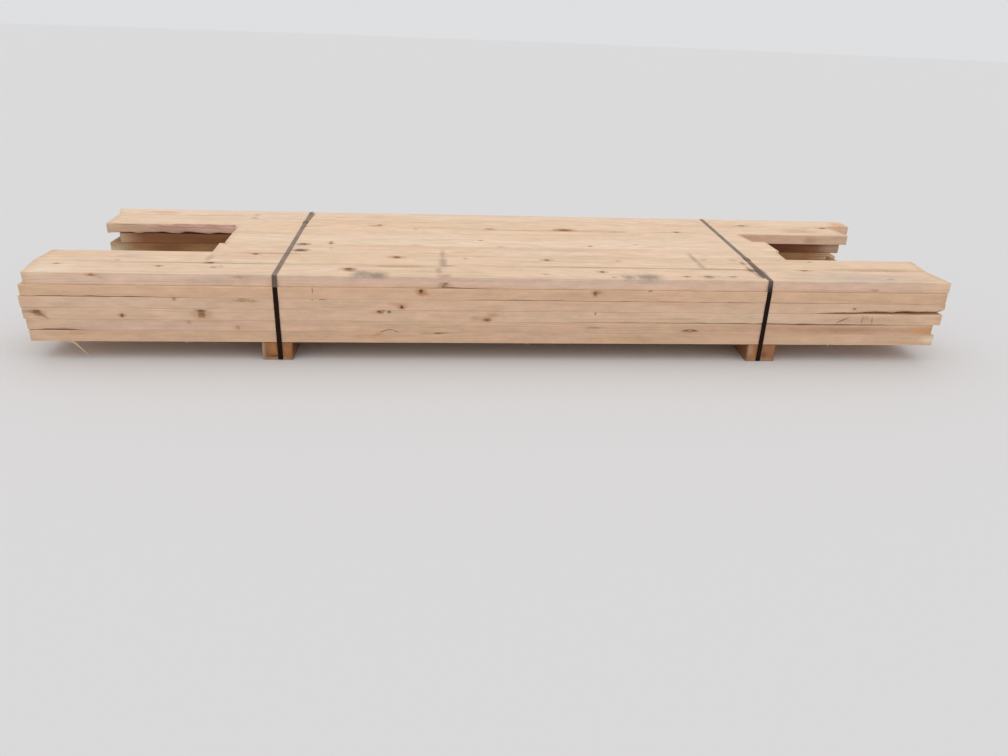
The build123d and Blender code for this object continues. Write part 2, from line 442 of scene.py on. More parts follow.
def mark(
    x: float,
    y: float,
    z: float,
    long: float,
    wide: float,
    high: float,
    colour: Colour,
    *rest: float,
) -> Stain:
    """A mark at a place, in millimetres.

    Args:
        x: The place along X.
        y: The place along Y.
        z: The place along Z.
        long: How far the mark reaches along X.
        wide: How far it reaches along Y.
        high: How far it reaches along Z.
        colour: Its colour.
        rest: How strong, how broken up and how sloping it is, as in Stain.

    Returns:
        The mark.
    """
    place, reach = (x, y, z), (long, wide, high)
    metres = (tuple(value / 1000 for value in values) for values in (place, reach))
    return Stain(*metres, colour, *rest)


def on_front(x: float, z: float, long: float, high: float, colour: Colour, *rest: float) -> Stain:
    """A mark on the front of the stack, in millimetres, with the rest as in mark."""
    return mark(x, -570, z, long, 20, high, colour, *rest)


def on_top(x: float, y: float, long: float, wide: float, colour: Colour, *rest: float) -> Stain:
    """A mark on top of the stack, in millimetres, with the rest as in mark."""
    return mark(x, y, 350, long, wide, 20, colour, *rest)


@dataclass(frozen=True)
class KnotTerms:
    """How a board's knots show in its finish, each from 0 to 1."""

    inside: Term
    rim: Term
    halo: Term
    rings: Term
    swerve: Term


@dataclass(frozen=True)
class GrainTerms:
    """The patterns that run with the log that a board was sawn from, each from 0 to 1."""

    late: Term
    bands: Term
    fibres: Term
    streaks: Term
    cloud: Term
    drift: Term


@dataclass(frozen=True)
class SawnWood:
    """Rough-sawn softwood: its log's rings, knots, saw marks, traces of bark and end grain."""

    name: str
    pale: Colour
    warm: Colour
    late: Colour
    knot: Colour
    knot_rim: Colour
    halo: Colour
    end_shade: Colour
    blush: Colour
    drab: Colour
    bark_deep: Colour = paint(160, 104, 88)
    bark_pale: Colour = paint(204, 158, 142)
    # Pale fibres at the edges, which also serve as a painted highlight where edges catch light
    fuzz: Colour = paint(240, 222, 200)
    warm_share: float = 0.35
    late_share: float = 0.42
    streak_share: float = 0.6
    blush_share: float = 0.3
    # Painted shade: how much more of the blush colour faces that look sideways get than tops
    blush_aside: float = 0.22
    drab_share: float = 0.6
    halo_share: float = 0.6
    knot_share: float = 0.88
    knot_ring_share: float = 0.55
    rim_share: float = 0.5
    end_share: float = 0.35
    end_late_share: float = 0.6
    bark_share: float = 0.85
    speck_share: float = 0.5
    fuzz_share: float = 0.35
    ring_width: float = 0.0042
    ring_swerve: float = 2.2
    relief: float = 0.0011
    stains: tuple[Stain, ...] = ()

    def material(self) -> bpy.types.Material:
        """Writes the finish down as nodes.

        Returns:
            The material.
        """
        sheet = Sheet(self.name)
        log = sheet.attribute(Mapped.LOG)
        end, bark, edge = sheet.parts(sheet.attribute(Mapped.SKIN))
        light, warmth, worn = sheet.parts(sheet.attribute(Mapped.TONE))

        ragged = sheet.noise(log, Pattern.RAGGED)
        knots = self._knots(sheet, ragged)
        grain = self._grain(sheet, log, knots.swerve)
        torn = sheet.noise(log, Pattern.TORN)
        in_bark = sheet.step(bark + (torn - 0.5) * 0.9, 0.42, 0.62)
        patches = sheet.noise(log, Pattern.WORN)
        specks = sheet.noise(log, Pattern.SPECKS)
        heart = sheet.mix(knots.rings * self.knot_ring_share, self.knot, self.knot_rim)
        end_grain = sheet.mix(grain.late * self.end_late_share, self.end_shade, self.late)
        wood = sheet.layered(
            self._clear_wood(sheet, grain, warmth),
            (knots.halo * self.halo_share, self.halo),
            (knots.inside * self.knot_share, heart),
            (knots.rim * self.rim_share, self.knot_rim),
            (end * self.end_share, end_grain),
            (in_bark * self.bark_share, self._inner_bark(sheet, log)),
            (sheet.step(patches, 0.5, 0.8) * worn, GRIME),
            (sheet.step(specks, 0.7, 0.8) * self.speck_share, self.halo),
            # Pale fibres along the edges: partly real fuzz, partly a painted highlight where edges
            # catch light
            (edge * sheet.step(grain.fibres, 0.3, 0.7) * self.fuzz_share, self.fuzz),
        )
        wood = sheet.stained(wood, self.stains)

        mottle = sheet.noise(log, Pattern.MOTTLE)
        patchy = 0.37 + grain.fibres * 0.26 + grain.cloud * 0.3 + grain.drift * 0.3 + mottle * 0.4
        saw_marks = sheet.step(sheet.noise(log, Pattern.SAW_TEETH), 0.3, 0.75)
        sawn = grain.fibres * 0.5 + saw_marks * 0.45 - grain.late * 0.12
        height = sawn + in_bark * ragged * 1.5 + knots.inside * 0.5 - knots.rim * 0.6
        return sheet.surface(
            {
                "Base Color": sheet.scaled(wood, light * patchy),
                "Roughness": 0.66 + grain.fibres * 0.2,
                "Specular IOR Level": 0.35,
                "Normal": sheet.bump(height, 0.55, self.relief),
            }
        )

    def _knots(self, sheet: Sheet, ragged: Term) -> KnotTerms:
        """Works out where knots show. Its distances count in the nearest knot's own radii.

        Args:
            sheet: The material.
            ragged: The small patches that break up a knot's outline.

        Returns:
            The knots' terms.
        """
        along, across, weight = sheet.parts(sheet.attribute(Mapped.KNOT))
        far = along.hypot(across)
        edge = far + (ragged - 0.5) * 1.9
        halo_edge = (along * 0.55).hypot(across) + (ragged - 0.5) * 1.2
        return KnotTerms(
            inside=(1 - sheet.step(edge, 0.25, 1.2)) * weight,
            rim=sheet.band(edge, (0.5, 0.9), (0.95, 1.35)) * weight,
            halo=(1 - sheet.step(halo_edge, 0.7, 2.3)) * weight,
            rings=sheet.step((edge * 3.2).maths("FRACT"), 0.2, 1.0),
            swerve=1 - sheet.step(far, 0.8, 3.4),
        )

    def _grain(self, sheet: Sheet, log: Term, swerve: Term) -> GrainTerms:
        """Works out the growth rings and the patches that run with them.

        Args:
            sheet: The material.
            log: The place in the log, whose heart runs along the board.
            swerve: How much the rings give way to a knot.

        Returns:
            The grain's terms.
        """
        _, side, up = sheet.parts(log)
        wander = (sheet.noise(log, Pattern.RING_WANDER) - 0.5) * 0.03
        ripple = (sheet.noise(log, Pattern.RING_RIPPLE) - 0.5) * 0.002
        from_heart = side.hypot(up) + wander + ripple
        ring = (from_heart / self.ring_width + swerve * self.ring_swerve).maths("FRACT")
        return GrainTerms(
            late=sheet.band(ring, (0.35, 0.93), (0.93, 1.0)),
            bands=sheet.noise(log, Pattern.RING_BANDS),
            fibres=sheet.noise(log, Pattern.FIBRES),
            streaks=sheet.noise(log, Pattern.STREAKS),
            cloud=sheet.noise(log, Pattern.CLOUD),
            drift=sheet.noise(log, Pattern.DRIFT),
        )

    def _clear_wood(self, sheet: Sheet, grain: GrainTerms, warmth: Term) -> Term:
        """The colour of wood that has no knots, bark or dirt, with painted shade on faces that look
        sideways.

        Args:
            sheet: The material.
            grain: The grain's terms.
            warmth: How much of the warm colour the board has.

        Returns:
            The colour.
        """
        # Painted shade: faces that look sideways get more of the darker, pinker blush colour than
        # tops
        painted_side_shade = (1 - sheet.step(sheet.facing_up(), 0.2, 0.8)) * self.blush_aside
        return sheet.layered(
            sheet.mix(warmth, self.pale, self.warm),
            (sheet.step(grain.bands, 0.42, 0.72) * self.warm_share, self.warm),
            (grain.late * self.late_share, self.late),
            (sheet.step(grain.streaks, 0.5, 0.74) * self.streak_share, self.late),
            (sheet.step(grain.cloud, 0.42, 0.72) * self.blush_share + painted_side_shade, self.blush),
            (sheet.step(grain.drift, 0.45, 0.72) * self.drab_share, self.drab),
        )

    def _inner_bark(self, sheet: Sheet, log: Term) -> Term:
        """The colour of the inner bark that is left on a wane."""
        fibrous = sheet.noise(log, Pattern.BARK_FIBRES)
        return sheet.mix(sheet.step(fibrous, 0.35, 0.65), self.bark_deep, self.bark_pale)


@dataclass(frozen=True)
class BandSteel:
    """Painted steel band: nearly black, with dust and a painted sky reflection where it faces up,
    rubbed through here and there.
    """

    name: str
    base: Colour
    dust: Colour
    dust_share: float
    bare: Colour = paint(150, 146, 142)
    stains: tuple[Stain, ...] = ()

    def material(self) -> bpy.types.Material:
        """Writes the finish down as nodes.

        Returns:
            The material.
        """
        sheet = Sheet(self.name)
        place = sheet.place()
        facing_up = sheet.facing_up()
        patches = sheet.noise(place, Pattern.STEEL_PATCHES)
        fine = sheet.noise(place, Pattern.STEEL_FINE)
        # Painted reflection of the sky on faces that look up, mixed with real dust
        painted_reflection = sheet.step(facing_up, 0.06, 0.2) * 0.45 + sheet.step(facing_up, 0.35, 0.95) * 0.35
        dust_and_reflection_cover = painted_reflection * (0.35 + patches * 1.2) * self.dust_share
        rubbed = sheet.step(fine * 0.6 + patches * 0.5, 0.68, 0.8)
        colour = sheet.mix(dust_and_reflection_cover, self.base, self.dust)
        colour = sheet.stained(sheet.mix(rubbed * 0.35, colour, self.bare), self.stains)
        return sheet.surface(
            {
                "Base Color": colour,
                "Roughness": 0.5 + dust_and_reflection_cover * 0.3 + fine * 0.12,
                "Specular IOR Level": 0.12,
                "Metallic": rubbed * 0.5,
                "Normal": sheet.bump(fine * 0.4 + patches * 0.6, 0.35, 0.0004),
            }
        )


PLANK_WOOD = SawnWood(
    name="rough_sawn_softwood",
    pale=paint(242, 219, 193),
    warm=paint(232, 192, 150),
    late=paint(214, 168, 124),
    knot=paint(140, 78, 36),
    knot_rim=paint(76, 36, 14),
    halo=paint(196, 140, 92),
    end_shade=paint(196, 158, 112),
    blush=paint(233, 187, 165),
    drab=paint(212, 176, 144),
)
# Painted shade: darker, warmer wood for plank sides that look into the notches, with pale end grain
# left out of the shade
PAINTED_SHADE_WOOD = replace(
    PLANK_WOOD,
    name="softwood_with_painted_shade",
    pale=paint(206, 148, 98),
    warm=paint(192, 130, 80),
    late=paint(150, 94, 56),
    blush=paint(190, 122, 76),
    drab=paint(150, 100, 64),
    end_shade=paint(232, 198, 160),
    end_share=0.9,
    fuzz=paint(206, 158, 116),
)
BEARER_WOOD = SawnWood(
    name="weathered_bearer_timber",
    pale=paint(205, 172, 138),
    warm=paint(190, 134, 84),
    late=paint(140, 92, 56),
    knot=paint(110, 66, 40),
    knot_rim=paint(62, 36, 24),
    halo=paint(160, 100, 60),
    end_shade=paint(186, 124, 74),
    blush=paint(190, 124, 84),
    drab=paint(128, 96, 72),
    fuzz=paint(170, 124, 86),
    end_share=0.7,
    ring_width=0.006,
    late_share=0.55,
)
BAND_BLACK = paint(32, 16, 9)
STRAP_DIRT = paint(104, 84, 74)
# The light colour of both steels is dust together with a painted sky reflection
STRAP_STEEL = BandSteel("black_band_steel", BAND_BLACK, paint(162, 143, 129), 1.0)
SEAL_STEEL = BandSteel("worn_seal_steel", paint(52, 42, 36), paint(150, 134, 120), 0.8)


def select_only(piece: bpy.types.Object) -> None:
    """Leaves one object selected and active.

    Args:
        piece: The object that the next operator is to work on.
    """
    bpy.ops.object.select_all(action="DESELECT")
    piece.select_set(True)
    bpy.context.view_layer.objects.active = piece


@contextmanager
def edited(piece: bpy.types.Object, edges: np.ndarray | None = None) -> Iterator[None]:
    """Opens a mesh in edit mode, for operators that work on what is picked.

    Args:
        piece: The object to edit.
        edges: Which of its edges are picked. All of the mesh is picked if this is left out.

    Yields:
        Nothing. The object is back in object mode afterwards.
    """
    select_only(piece)
    bpy.context.tool_settings.mesh_select_mode = (False, True, False)
    mesh = piece.data
    if edges is not None:
        mesh.vertices.foreach_set("select", np.zeros(len(mesh.vertices), bool))
        mesh.polygons.foreach_set("select", np.zeros(len(mesh.polygons), bool))
        mesh.edges.foreach_set("select", edges)
    bpy.ops.object.mode_set(mode="EDIT")
    if edges is None:
        bpy.ops.mesh.select_all(action="SELECT")
    yield
    bpy.ops.object.mode_set(mode="OBJECT")


def numbers_of(
    rows: bpy.types.bpy_prop_collection, name: str, width: int = 1, kind: type = float
) -> np.ndarray:
    """Reads a value from every point, edge, face or corner of a mesh.

    Args:
        rows: The mesh's points, edges, faces or corners.
        name: The value's name.
        width: How many numbers the value has.
        kind: The numbers' type.

    Returns:
        The numbers, with a row for each point or other item if the value has more than one.
    """
    numbers = np.empty(len(rows) * width, kind)
    rows.foreach_get(name, numbers)
    return numbers if width == 1 else numbers.reshape(-1, width)


def points_of(mesh: bpy.types.Mesh) -> np.ndarray:
    """The places of a mesh's points, one row each."""
    return numbers_of(mesh.vertices, "co", 3)


def facing_along(mesh: bpy.types.Mesh, axis: int) -> np.ndarray:
    """How far each point of a mesh faces along an axis, from -1 to 1."""
    return numbers_of(mesh.vertices, "normal", 3)[:, axis]


def move_points(mesh: bpy.types.Mesh, places: np.ndarray) -> None:
    """Puts a mesh's points at these places, one row each."""
    mesh.vertices.foreach_set("co", places.ravel())
    mesh.update()


def runs_along(mesh: bpy.types.Mesh, axis: int) -> np.ndarray:
    """Which of a mesh's edges run along an axis more than along the other two.

    Args:
        mesh: The mesh.
        axis: 0, 1 or 2 for X, Y or Z.

    Returns:
        True or false for each edge.
    """
    ends = numbers_of(mesh.edges, "vertices", 2, int)
    places = points_of(mesh)
    runs = np.abs(places[ends[:, 0]] - places[ends[:, 1]])
    return runs.argmax(1) == axis


def store(mesh: bpy.types.Mesh, name: Mapped, domain: str, values: np.ndarray) -> None:
    """Writes a vector for each point or corner of a mesh, for its finish to read.

    Args:
        mesh: The mesh.
        name: What the values are.
        domain: POINT or CORNER.
        values: One row of three numbers for each.
    """
    layer = mesh.attributes.new(name.value, "FLOAT_VECTOR", domain)
    layer.data.foreach_set("vector", values.astype(np.float32).ravel())


class Facing(Enum):
    """The face of a board that a knot is seen on: its axis, and whether it is the far one."""

    FRONT = (1, False)
    REAR = (1, True)
    TOP = (2, True)
    UNDER = (2, False)

    @property
    def axis(self) -> int:
        """The axis that the face looks along, which is the way that the branch grew."""
        return self.value[0]

    @property
    def spread(self) -> list[int]:
        """The two axes that the face lies along, with the plank's own first."""
        return [0, 3 - self.axis]

    def place(self, box: Box) -> float:
        """Where the face of a board with this box lies along the face's axis."""
        corner = box.high if self.value[1] else box.low
        return corner[self.axis]


@dataclass(frozen=True)
class Knot:
    """A branch that a plank was sawn through, in metres.

    Its place is along X, and across along Y or Z, whichever the face that it is seen on has.
    """

    along: float
    across: float
    radius: float
    long: float
    weight: float
    facing: Facing

    def seen(self, depths: np.ndarray) -> np.ndarray:
        """How plainly the knot shows at these distances from the face that it is seen on."""
        whole, gone = 0.8 * self.radius, 2.4 * self.radius
        return self.weight * np.clip((gone - depths) / (gone - whole), 0, 1)


def knots_on(facing: Facing, rows: tuple[tuple[float, ...], ...]) -> tuple[Knot, ...]:
    """Knots on one face of the stack.

    Args:
        facing: The face.
        rows: For each knot, its place along and across the planks and its radius, in
            millimetres, how drawn out it is along the plank, and how plainly it shows.

    Returns:
        The knots.
    """
    return tuple(
        Knot(along / 1000, across / 1000, radius / 1000, long, weight, facing)
        for along, across, radius, long, weight in rows
    )


# The knots that the photograph shows, in the columns that knots_on takes
FRONT_KNOT_ROWS = (
    (-1604, 344, 5, 2.0, 0.8),
    (-1824, 190, 11, 1.0, 0.6),
    (-1512, 184, 6, 1.0, 1.0),
    (-1212, 192, 13, 1.1, 0.8),
    (-1263, 157, 6, 1.0, 0.4),
    (-1078, 137, 8, 1.0, 0.4),
    (-1053, 251, 7, 1.6, 0.35),
    (-1308, 254, 6, 1.0, 0.6),
    (-358, 293, 9, 0.9, 1.0),
    (-435, 227, 7, 1.0, 1.0),
    (-520, 207, 8, 1.6, 0.7),
    (-484, 209, 6, 1.0, 0.6),
    (-93, 177, 8, 1.4, 0.55),
    (340, 291, 8, 0.6, 0.8),
    (347, 207, 5, 0.4, 0.6),
)
TOP_KNOT_ROWS = (
    (-1781, -437, 8, 1.0, 1.0),
    (-1388, -455, 8, 1.0, 1.0),
    (-1207, -395, 11, 1.2, 1.0),
    (-1055, -258, 10, 1.0, 1.0),
    (-1572, -376, 5, 1.0, 0.5),
    (-885, -80, 12, 1.0, 0.9),
    (-880, -186, 14, 1.0, 0.9),
    (-765, -60, 9, 0.9, 0.7),
    (-650, -462, 13, 1.0, 1.0),
    (-576, 305, 12, 0.9, 0.7),
    (-465, -278, 14, 1.0, 1.0),
    (-380, 250, 10, 2.5, 0.8),
    (-175, -287, 7, 0.8, 0.5),
    (-93, 31, 8, 0.8, 0.6),
    (145, -502, 7, 1.0, 0.5),
    (175, -290, 12, 0.9, 1.0),
    (331, 264, 18, 1.0, 1.0),
    (407, -45, 9, 0.7, 0.7),
    (384, -460, 10, 0.9, 1.0),
    (417, -535, 6, 1.0, 0.6),
    (485, -290, 7, 1.0, 0.5),
    (629, -4, 6, 1.0, 0.4),
    (629, 248, 6, 1.0, 0.4),
    (723, -510, 6, 1.6, 0.7),
    (818, -505, 7, 2.2, 0.8),
    (900, 262, 9, 1.0, 1.0),
    (1035, -410, 12, 1.0, 0.8),
    (1296, 432, 14, 1.1, 1.0),
    (1273, -396, 13, 1.1, 1.0),
    (1356, -263, 6, 1.0, 0.7),
    (1726, 405, 13, 1.2, 1.0),
    (1600, -515, 7, 1.2, 0.7),
)
FRONT_KNOTS = knots_on(Facing.FRONT, FRONT_KNOT_ROWS)
TOP_KNOTS = knots_on(Facing.TOP, TOP_KNOT_ROWS)


@dataclass(frozen=True)
class EdgeLoss:
    """Wood that a board's front edge lacks, as wane under the bark or where the wood broke out.

    Attributes:
        middle: Where along X the loss is greatest, in metres.
        reach: How far it reaches from there to each side.
        rise: How high a strip of the front face it takes where it is greatest.
        depth: How deep a strip of the top or the underside it takes there.
        upper: Whether the upper edge lacks the wood, or else the lower one.
        bark: How much inner bark it shows, from 0 to 1.
        bark_to: Where along X the bark ends.
        waver: How unevenly it runs.
    """

    middle: float
    reach: float
    rise: float
    depth: float
    upper: bool = False
    bark: float = 0.0
    bark_to: float = math.inf
    waver: float = 0.25

    def cut(self, places: np.ndarray, box: Box) -> np.ndarray:
        """Moves the points that lie outside the loss's slant back onto it.

        Args:
            places: The board's points, which are changed.
            box: The node's box.

        Returns:
            How much bark each point shows, from 0 to 1.
        """
        least_share, bark_share, bark_margin = 1e-6, 0.05, 0.12
        share = np.maximum(self._share(places[:, 0]), least_share)
        rise, depth = self.rise * share, self.depth * share
        inward = places[:, 1] - box.low.y
        upward = box.high.z - places[:, 2] if self.upper else places[:, 2] - box.low.z
        missing = 1 - inward / depth - upward / rise
        slant = np.hypot(rise, depth)
        push = np.where(missing > 0, missing * rise * depth / slant, 0)
        places[:, 1] += push * rise / slant
        places[:, 2] += push * depth / slant * (-1 if self.upper else 1)
        in_bark = (missing > -bark_margin) & (share > bark_share) & (places[:, 0] < self.bark_to)
        return np.where(in_bark, self.bark, 0)

    def _share(self, x: np.ndarray) -> np.ndarray:
        """How much of the loss's full size is lost at each place along the board.

        Args:
            x: The places, in metres.

        Returns:
            The shares, which are 0 past the loss's reach.
        """
        slow, middling, quick = np.sin(x * 41 + self.middle), np.sin(x * 97), np.sin(x * 233)
        swell = 1 + self.waver * (slow + 0.6 * middling + 0.35 * quick) / 2
        return np.clip(1 - ((x - self.middle) / self.reach) ** 2, 0, None) * swell


@dataclass(frozen=True)
class Splinter:
    """A sliver of wood that stands off a board's lower edge, in metres."""

    root: Point
    tip: Point
    width: float
    sides: int = 5
    blunt: float = 0.2

    def build(self) -> bpy.types.Object:
        """Makes the sliver as a thin, tapered spike.

        Returns:
            The sliver.
        """
        root, tip = Vector(self.root), Vector(self.tip)
        run = tip - root
        bpy.ops.object.select_all(action="DESELECT")
        bpy.ops.mesh.primitive_cone_add(
            vertices=self.sides,
            radius1=self.width / 2,
            radius2=self.width / 2 * self.blunt,
            depth=run.length,
            location=(root + tip) / 2,
            rotation=run.to_track_quat("Z", "Y").to_euler(),
        )
        bpy.ops.object.transform_apply(location=True, rotation=True, scale=True)
        return bpy.context.object


@dataclass(frozen=True)
class Grid:
    """How finely a board's mesh is divided: metres along it, and faces across and through it."""

    spacing: float
    across: int
    through: int


@dataclass
class Board:
    """One rough-sawn plank or bearer, which stands for its node.

    Attributes:
        node: The node's name.
        box: The node's box.
        length_axis: The axis that the board runs along.
        grid: How finely its mesh is divided.
        finish: Its material.
        slot: The slot that its material is meant for; it is not used.
        tone: How light, how warm and how dirty its wood is.
        knots: The knots that show on it.
        losses: What its front edges lack.
        splinters: The slivers that stand off it.
        edge_round: How far in its edges are rounded.
        tear: How deep the fibres are torn out at its ends, at most.
        tear_waves: How quickly that depth changes across an end, in radians to a metre.
        bow: How deep the wide dips in its faces are.
        bow_patch: How wide those dips are.
        fray: How deep the small dips in its faces are.
        fray_patch: How wide those are.
        fuzzy: How far from its edges its wood is fuzzy and carries a painted highlight.
        light_at_ends: How light its end grain is, at least, which keeps the painted shade of notch
            planks off their end grain.
    """

    node: str
    box: Box
    length_axis: int
    grid: Grid
    finish: bpy.types.Material
    slot: str
    tone: Point
    knots: tuple[Knot, ...] = ()
    losses: tuple[EdgeLoss, ...] = ()
    splinters: tuple[Splinter, ...] = ()
    edge_round: float = 0.0006
    tear: float = 0.003
    tear_waves: tuple[float, ...] = (60, 170, 420, 700)
    bow: float = 0.0004
    bow_patch: float = 0.31
    fray: float = 0.0003
    fray_patch: float = 0.021
    fuzzy: float = 0.006
    light_at_ends: float = 0.78

    def build(self) -> bpy.types.Object:
        """Makes the board's mesh and dresses it.

        Returns:
            The board, riding on the stack.
        """
        piece = self._sawn()
        self._divide(piece)
        self._round_edges(piece)
        self._roughen(piece, self.bow, self.bow_patch)
        self._roughen(piece, self.fray, self.fray_patch)
        self._tear_ends(piece)
        self._add_splinters(piece)
        bark = self._lose_edges(piece.data)
        self._map(piece.data, bark)
        self._map_knots(piece.data)
        select_only(piece)
        bpy.ops.object.shade_smooth_by_angle(angle=math.radians(32))
        piece.data.materials.clear()
        piece.data.materials.append(self.finish)
        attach(piece, "root")
        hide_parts(self.node)
        return piece

    def _sawn(self) -> bpy.types.Object:
        """Makes a block of the node's size, with its ends cut at the slant that the node's have.

        Returns:
            The block.
        """
        low, high = self.box.low, self.box.high
        bpy.ops.object.select_all(action="DESELECT")
        bpy.ops.mesh.primitive_cube_add(size=1, location=self.box.middle, scale=self.box.size)
        bpy.ops.object.transform_apply(location=True, rotation=True, scale=True)
        piece = bpy.context.object
        piece.name = f"{self.node}_sawn"
        node_places = points_of(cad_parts[self.node].data)
        near, square = 0.002, 0.0001
        at_front = node_places[node_places[:, 1] < low.y + near][:, 0]
        at_rear = node_places[node_places[:, 1] > high.y - near][:, 0]
        left_end = at_front.min(), at_rear.min(), -1
        right_end = at_front.max(), at_rear.max(), 1
        for front_x, rear_x, way in (left_end, right_end):
            if abs(front_x - rear_x) < square:
                continue
            normal = Vector((high.y - low.y, front_x - rear_x, 0)).normalized() * way
            with edited(piece):
                bpy.ops.mesh.bisect(
                    plane_co=(front_x, low.y, 0),
                    plane_no=normal,
                    use_fill=True,
                    clear_outer=True,
                )
        return piece

    def _divide(self, piece: bpy.types.Object) -> None:
        """Divides the block into small faces, so that it can be roughened.

        Args:
            piece: The block.
        """
        most_parts = 100
        self._cut(piece, 1 - self.length_axis, self.grid.across)
        self._cut(piece, 2, self.grid.through)
        length = piece.dimensions[self.length_axis]
        parts = max(2, round(length / self.grid.spacing))
        first = min(most_parts, parts)
        self._cut(piece, self.length_axis, first)
        if parts > 1.5 * first:
            self._cut(piece, self.length_axis, 2)

    def _cut(self, piece: bpy.types.Object, axis: int, parts: int) -> None:
        """Cuts every edge that runs along an axis into equal parts."""
        with edited(piece, runs_along(piece.data, axis)):
            bpy.ops.mesh.subdivide(number_cuts=parts - 1)

    def _round_edges(self, piece: bpy.types.Object) -> None:
        """Takes the sharpness off the board's twelve edges.

        Args:
            piece: The board.
        """
        sharp = math.radians(40)
        with edited(piece):
            bpy.ops.mesh.select_all(action="DESELECT")
            bpy.ops.mesh.edges_select_sharp(sharpness=sharp)
            bpy.ops.mesh.bevel(offset=self.edge_round, segments=2, affect="EDGES")

    def _roughen(self, piece: bpy.types.Object, depth: float, patch: float) -> None:
        """Sinks the surface in soft patches, never outwards.

        Args:
            piece: The board.
            depth: The deepest patch, in metres.
            patch: The patches' size, in metres.
        """
        texture = bpy.data.textures.new(f"{self.node}_{patch}", "CLOUDS")
        texture.noise_scale = patch
        modifier = piece.modifiers.new("rough", "DISPLACE")
        modifier.texture = texture
        modifier.texture_coords = "LOCAL"
        modifier.mid_level = 0
        modifier.strength = -depth
        select_only(piece)
        bpy.ops.object.modifier_apply(modifier=modifier.name)

    def _tear_ends(self, piece: bpy.types.Object) -> None:
        """Makes the two sawn ends uneven, where fibres tore out, never outwards.

        Args:
            piece: The board.
        """
        on_end = 0.35
        places = points_of(piece.data)
        outward = facing_along(piece.data, self.length_axis)
        torn = np.abs(outward) > on_end
        chance = Random(f"ends of {self.node}")
        side, up = places[:, 1 - self.length_axis], places[:, 2]
        depth = np.zeros(len(places))
        for waves in self.tear_waves:
            turn = chance.uniform(0, 6.28)
            slanted = side * waves + up * waves * chance.uniform(-0.8, 0.8)
            depth += np.sin(slanted + turn) / len(self.tear_waves)
        torn_out = np.sign(outward) * self.tear * (0.5 + depth / 2)
        places[torn, self.length_axis] -= torn_out[torn]
        move_points(piece.data, places)

    def _add_splinters(self, piece: bpy.types.Object) -> None:
        """Joins the board's splinters to it.

        Args:
            piece: The board.
        """
        if not self.splinters:
            return
        slivers = [splinter.build() for splinter in self.splinters]
        select_only(piece)
        for sliver in slivers:
            sliver.select_set(True)
        bpy.ops.object.join()

    def _lose_edges(self, mesh: bpy.types.Mesh) -> np.ndarray:
        """Takes off wane and what broke out of the edges.

        Args:
            mesh: The board's mesh.

        Returns:
            How much bark each of the board's points shows, from 0 to 1.
        """
        places = points_of(mesh)
        bark = np.zeros(len(places))
        for loss in self.losses:
            bark = np.maximum(bark, loss.cut(places, self.box))
        move_points(mesh, places)
        return bark

    def _map(self, mesh: bpy.types.Mesh, bark: np.ndarray) -> None:
        """Writes each point's place in the log, its skin and its tone, for the finish to read.

        Args:
            mesh: The board's mesh.
            bark: How much bark each point shows.
        """
        order = [self.length_axis, 1 - self.length_axis, 2]
        local = (points_of(mesh) - np.array(self.box.middle))[:, order]
        store(mesh, Mapped.LOG, "POINT", self._in_log(local))
        on_end = 0.5
        end = np.abs(facing_along(mesh, self.length_axis)) > on_end
        tone = np.tile(self.tone, (len(local), 1))
        # End grain is kept at least this light, out of the painted notch shade
        tone[end, 0] = max(tone[0, 0], self.light_at_ends)
        store(mesh, Mapped.TONE, "POINT", tone)
        from_faces = np.array(self.box.size / 2)[order] - np.abs(local)
        from_edge = np.sort(from_faces, 1)[:, 1]
        edge = np.clip(1 - from_edge / self.fuzzy, 0, 1)
        store(mesh, Mapped.SKIN, "POINT", np.stack([end, bark, edge], 1))

    def _in_log(self, local: np.ndarray) -> np.ndarray:
        """Where points of the board lay in the log that it was sawn from.

        Args:
            local: The points' places from the board's middle: along, across and through it.

        Returns:
            Their places in the log, whose heart runs along the first axis.
        """
        chance = Random(self.node)
        heart_far = chance.uniform(0.05, 0.15)
        heart_turn = math.radians(chance.choice((90, 270)) + chance.uniform(-50, 50))
        lean = chance.uniform(-0.018, 0.018), chance.uniform(-0.018, 0.018)
        log = local.copy()
        log[:, 0] += chance.uniform(5, 50)
        log[:, 1] += heart_far * math.cos(heart_turn) + lean[0] * local[:, 0]
        log[:, 2] += heart_far * math.sin(heart_turn) + lean[1] * local[:, 0]
        return log

    def _map_knots(self, mesh: bpy.types.Mesh) -> None:
        """Writes the way to the nearest knot at each corner of each face.

        Args:
            mesh: The board's mesh.
        """
        far_away = 99.0
        starts = numbers_of(mesh.polygons, "loop_start", kind=int)
        counts = numbers_of(mesh.polygons, "loop_total", kind=int)
        corners = points_of(mesh)[numbers_of(mesh.loops, "vertex_index", kind=int)]
        middles = np.add.reduceat(corners, starts, axis=0) / counts[:, None]
        ways = np.tile((far_away, far_away, 0.0), (len(corners), 1))
        nearest = np.full(len(middles), far_away)
        for knot in self.knots:
            axis, spread = knot.facing.axis, knot.facing.spread
            face = knot.facing.place(self.box)
            scale = np.array((knot.radius * knot.long, knot.radius))
            heart = np.array((knot.along, knot.across))
            away = np.linalg.norm((middles[:, spread] - heart) / scale, axis=1)
            away += np.abs(middles[:, axis] - face) / knot.radius
            closer = away < nearest
            nearest[closer] = away[closer]
            chosen = np.repeat(closer, counts)
            ways[chosen, :2] = (corners[chosen][:, spread] - heart) / scale
            ways[chosen, 2] = knot.seen(np.abs(corners[chosen][:, axis] - face))
        store(mesh, Mapped.KNOT, "CORNER", ways)


